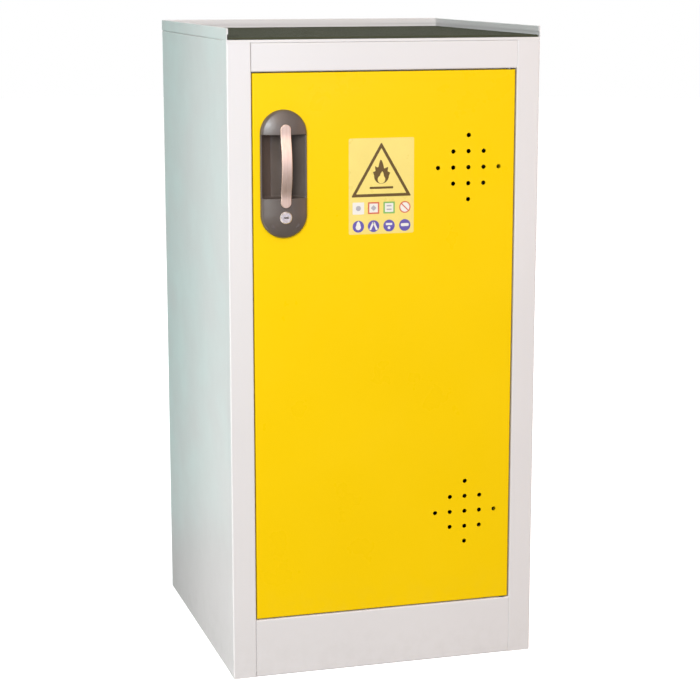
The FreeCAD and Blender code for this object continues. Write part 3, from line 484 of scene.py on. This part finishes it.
def tile_row(bm, columns, row, tile):
    """Three square tiles and a crossed-out ring, each with an abstract mark."""
    layer(bm, moved(rounded(tile, tile, 1.0 * MM), columns[0], row), 1, "print_white")
    layer(bm, moved(circle(4.0 * MM), columns[0], row), 2, "print_grey")
    inside = tile - 4.8 * MM
    for x, ink in ((columns[1], "print_red"), (columns[2], "print_green")):
        layer(bm, moved(rounded(tile, tile, 1.0 * MM), x, row), 1, ink)
        layer(bm, moved(rounded(inside, inside, 0.6 * MM), x, row), 2, "print_white")
    layer(bm, moved(rounded(6.4 * MM, 6.4 * MM, 0.8 * MM), columns[1], row, math.pi / 4), 3, "print_grey")
    for lift in (-2.8, 2.8):
        layer(bm, moved(rounded(8.0 * MM, 2.2 * MM, 0.6 * MM), columns[2], row + lift * MM), 3, "print_grey")
    layer(bm, moved(circle(8.2 * MM), columns[3], row), 1, "print_white")
    layer(
        bm, moved(circle(tile / 2), columns[3], row), 2, "print_red",
        hole=moved(circle(7.4 * MM), columns[3], row),
    )
    layer(bm, moved(rounded(15.0 * MM, 1.9 * MM, 0.2 * MM), columns[3], row, -math.pi / 4), 2, "print_red")


def disc_row(bm, columns, row, size):
    """Four blue discs, each with an abstract mark."""
    for x in columns:
        layer(bm, moved(circle(size / 2), x, row), 1, "print_blue")
    layer(bm, moved(polar(drop), columns[0], row - 1.2 * MM), 2, "print_white")
    for side in (-1, 1):
        leg = rounded(3.2 * MM, 13.0 * MM, 0.9 * MM)
        layer(bm, moved(leg, columns[1] + side * 2.9 * MM, row, side * 0.42), 2, "print_white")
    layer(bm, moved(rounded(10.5 * MM, 3.4 * MM, 1.2 * MM), columns[2], row + 2.4 * MM), 2, "print_white")
    layer(bm, moved(circle(2.2 * MM), columns[2], row - 3.4 * MM), 2, "print_white")
    layer(bm, moved(rounded(13.0 * MM, 4.6 * MM, 1.8 * MM), columns[3], row + 0.6 * MM), 2, "print_white")


def label(bm):
    """Film sheet with the sign and both rows printed on it."""
    width, height = label_high.x - label_low.x, label_high.z - label_low.z
    base, middle = label_low.z, (label_low.z + label_high.z) / 2
    layer(bm, moved(rounded(width, height, 2.5 * MM), label_middle, middle), 0, "label_film", thickness=SHEET)
    warning_sign(bm, base)
    columns = [label_low.x + offset * MM for offset in COLUMNS]
    size = 18.5 * MM
    tile_row(bm, columns, base + 40.3 * MM, size)
    disc_row(bm, columns, base + 12.2 * MM, size)


add_piece(
    "hazard_label_printed", label, "door", "hazard_label",
    list(INK.values()),
)


# ---- stage, light and camera --------------------------------------------------------
def add_prop(name, mesh, material):
    """Seen by the camera, but it neither lights nor shades the cabinet and isn't mirrored in it."""
    mesh.materials.append(material)
    prop = bpy.data.objects.new(name, mesh)
    bpy.context.scene.collection.objects.link(prop)
    prop.visible_diffuse = False
    prop.visible_glossy = False
    prop.visible_shadow = False
    return prop


def floor_paint():
    """Matt white with a glow of its own, so that it looks as white as the backdrop."""
    s = Shader("studio_floor", roughness=0.75)
    tone = s.remap(s.noise(3.0, 3.0), 0.3, 0.7, 0.0, 1.0)
    s.colour(s.blend(tone, (0.90, 0.90, 0.90), (0.93, 0.93, 0.93)))
    s.surface.inputs["Emission Color"].default_value = (*WHITE, 1.0)
    s.surface.inputs["Emission Strength"].default_value = 0.55
    s.bump(s.noise(240.0, 3.0), 0.2 * MM, 0.2)
    return s.material


def backdrop_paint():
    """Plain white that no lamp changes."""
    material = bpy.data.materials.new("backdrop_white")
    material.use_nodes = True
    tree = material.node_tree
    tree.nodes.clear()
    glow = tree.nodes.new("ShaderNodeEmission")
    surface = tree.nodes.new("ShaderNodeOutputMaterial")
    tree.links.new(glow.outputs["Emission"], surface.inputs["Surface"])
    return material


FLOOR_RADIUS = 14.0
BACKDROP_RADIUS = 25.0
CLIP_END = 60.0            # past the backdrop's far side

floor_mesh = bpy.data.meshes.new("floor")
rim = [(x, y, 0.0) for x, y in circle(FLOOR_RADIUS, 96)]
floor_mesh.from_pydata(rim, [], [list(range(len(rim)))])
floor = add_prop("floor", floor_mesh, floor_paint())

backdrop_mesh = bpy.data.meshes.new("backdrop")
ball = bmesh.new()
bmesh.ops.create_icosphere(ball, subdivisions=4, radius=BACKDROP_RADIUS)
ball.to_mesh(backdrop_mesh)
ball.free()
backdrop = add_prop("backdrop", backdrop_mesh, backdrop_paint())
backdrop.visible_transmission = False

world = bpy.data.worlds.new("studio")
bpy.context.scene.world = world
world.use_nodes = True
sky = world.node_tree.nodes["Background"]
sky.inputs["Color"].default_value = (*WHITE, 1.0)
sky.inputs["Strength"].default_value = 0.30


def add_lamp(name, kind, power, colour):
    """A lamp of a kind, at the origin and pointing straight down."""
    light = bpy.data.lights.new(name, kind)
    light.energy = power
    light.color = colour
    lamp = bpy.data.objects.new(name, light)
    bpy.context.scene.collection.objects.link(lamp)
    return lamp


def add_area(name, place, target, size, watts, colour):
    """Soft box at a place, turned towards a target and unseen by the camera."""
    lamp = add_lamp(name, "AREA", watts, colour)
    lamp.data.shape = "RECTANGLE"
    lamp.data.size, lamp.data.size_y = size
    lamp.location = place
    lamp.rotation_euler = (Vector(target) - Vector(place)).to_track_quat("-Z", "Y").to_euler()
    lamp.visible_camera = False


SUN_WIDTH = math.radians(40.0)


def add_sun(name, tilt, turn, strength, colour):
    """Wide, soft sun, tilted from straight down and turned about the vertical, in degrees."""
    lamp = add_lamp(name, "SUN", strength, colour)
    lamp.data.angle = SUN_WIDTH
    lamp.rotation_euler = (math.radians(tilt), 0.0, math.radians(turn))


# Soft boxes: name, place, target, size, watts, colour. The key is the main light, from the front
# left, and frontal fills in. rear_left gives the left side its green tint. side and foot stand close
# to that side and hardly reach the front. The others add colour from the right and the front, and
# light the right side and the back.
add_area("key", (-1.5, -2.85, 1.65), (-0.1, -0.2, 0.75), (1.2, 1.4), 101.0, (0.905, 0.94, 0.97))
add_area("frontal", (0.6, -3.2, 1.8), (0.0, -0.2, 0.8), (2.4, 2.0), 13.5, (1.0, 0.82, 0.72))
add_area("rear_left", (-0.85, 3.2, 0.9), (-0.3, 0.2, 0.9), (0.9, 3.3), 8.0, (0.10, 0.86, 0.74))
add_area("warm", (2.0, -1.3, 0.9), (0.1, -0.2, 0.6), (0.8, 1.6), 8.5, (1.0, 0.42, 0.18))
add_area("side", (-0.7, -0.22, 0.4), (-0.25, -0.22, 0.4), (0.15, 2.1), 3.1, (1.0, 0.99, 0.99))
add_area("foot", (-0.75, -0.2, 0.1), (-0.25, -0.1, 0.12), (0.15, 0.3), 0.6, (1.0, 0.93, 0.93))
add_area("back", (1.2, 3.6, 2.2), (0.0, 0.2, 0.5), (2.4, 2.0), 34.0, WHITE)
add_area("sheen", (0.42, -3.1, 1.05), (0.0, -0.2, 0.9), (0.7, 0.7), 5.0, (0.30, 0.46, 1.0))
add_area("right", (2.6, 0.9, 1.3), (0.25, 0.1, 0.55), (1.6, 1.8), 21.0, WHITE)
# Suns: one from straight above, one from the front and above.
add_sun("overhead", 0.0, 0.0, 0.5, (0.95, 1.0, 1.0))
add_sun("front", 50.0, -4.0, 0.8, (1.0, 0.78, 0.66))

# Solved from the cabinet's corners in the photo.
CAMERA_PLACE = (-0.898, -3.0952, 1.105)
LOOKS_DOWN, LOOKS_RIGHT = 11.09, 16.37     # degrees below level, and from straight ahead

camera_data = bpy.data.cameras.new("camera")
camera_data.lens = 100.1
camera_data.sensor_width = 36.0
camera_data.clip_end = CLIP_END
camera = bpy.data.objects.new("camera", camera_data)
camera.location = CAMERA_PLACE
camera.rotation_euler = (math.radians(90 - LOOKS_DOWN), 0.0, math.radians(-LOOKS_RIGHT))
bpy.context.scene.collection.objects.link(camera)
bpy.context.scene.camera = camera
bpy.context.scene.view_settings.view_transform = "Standard"
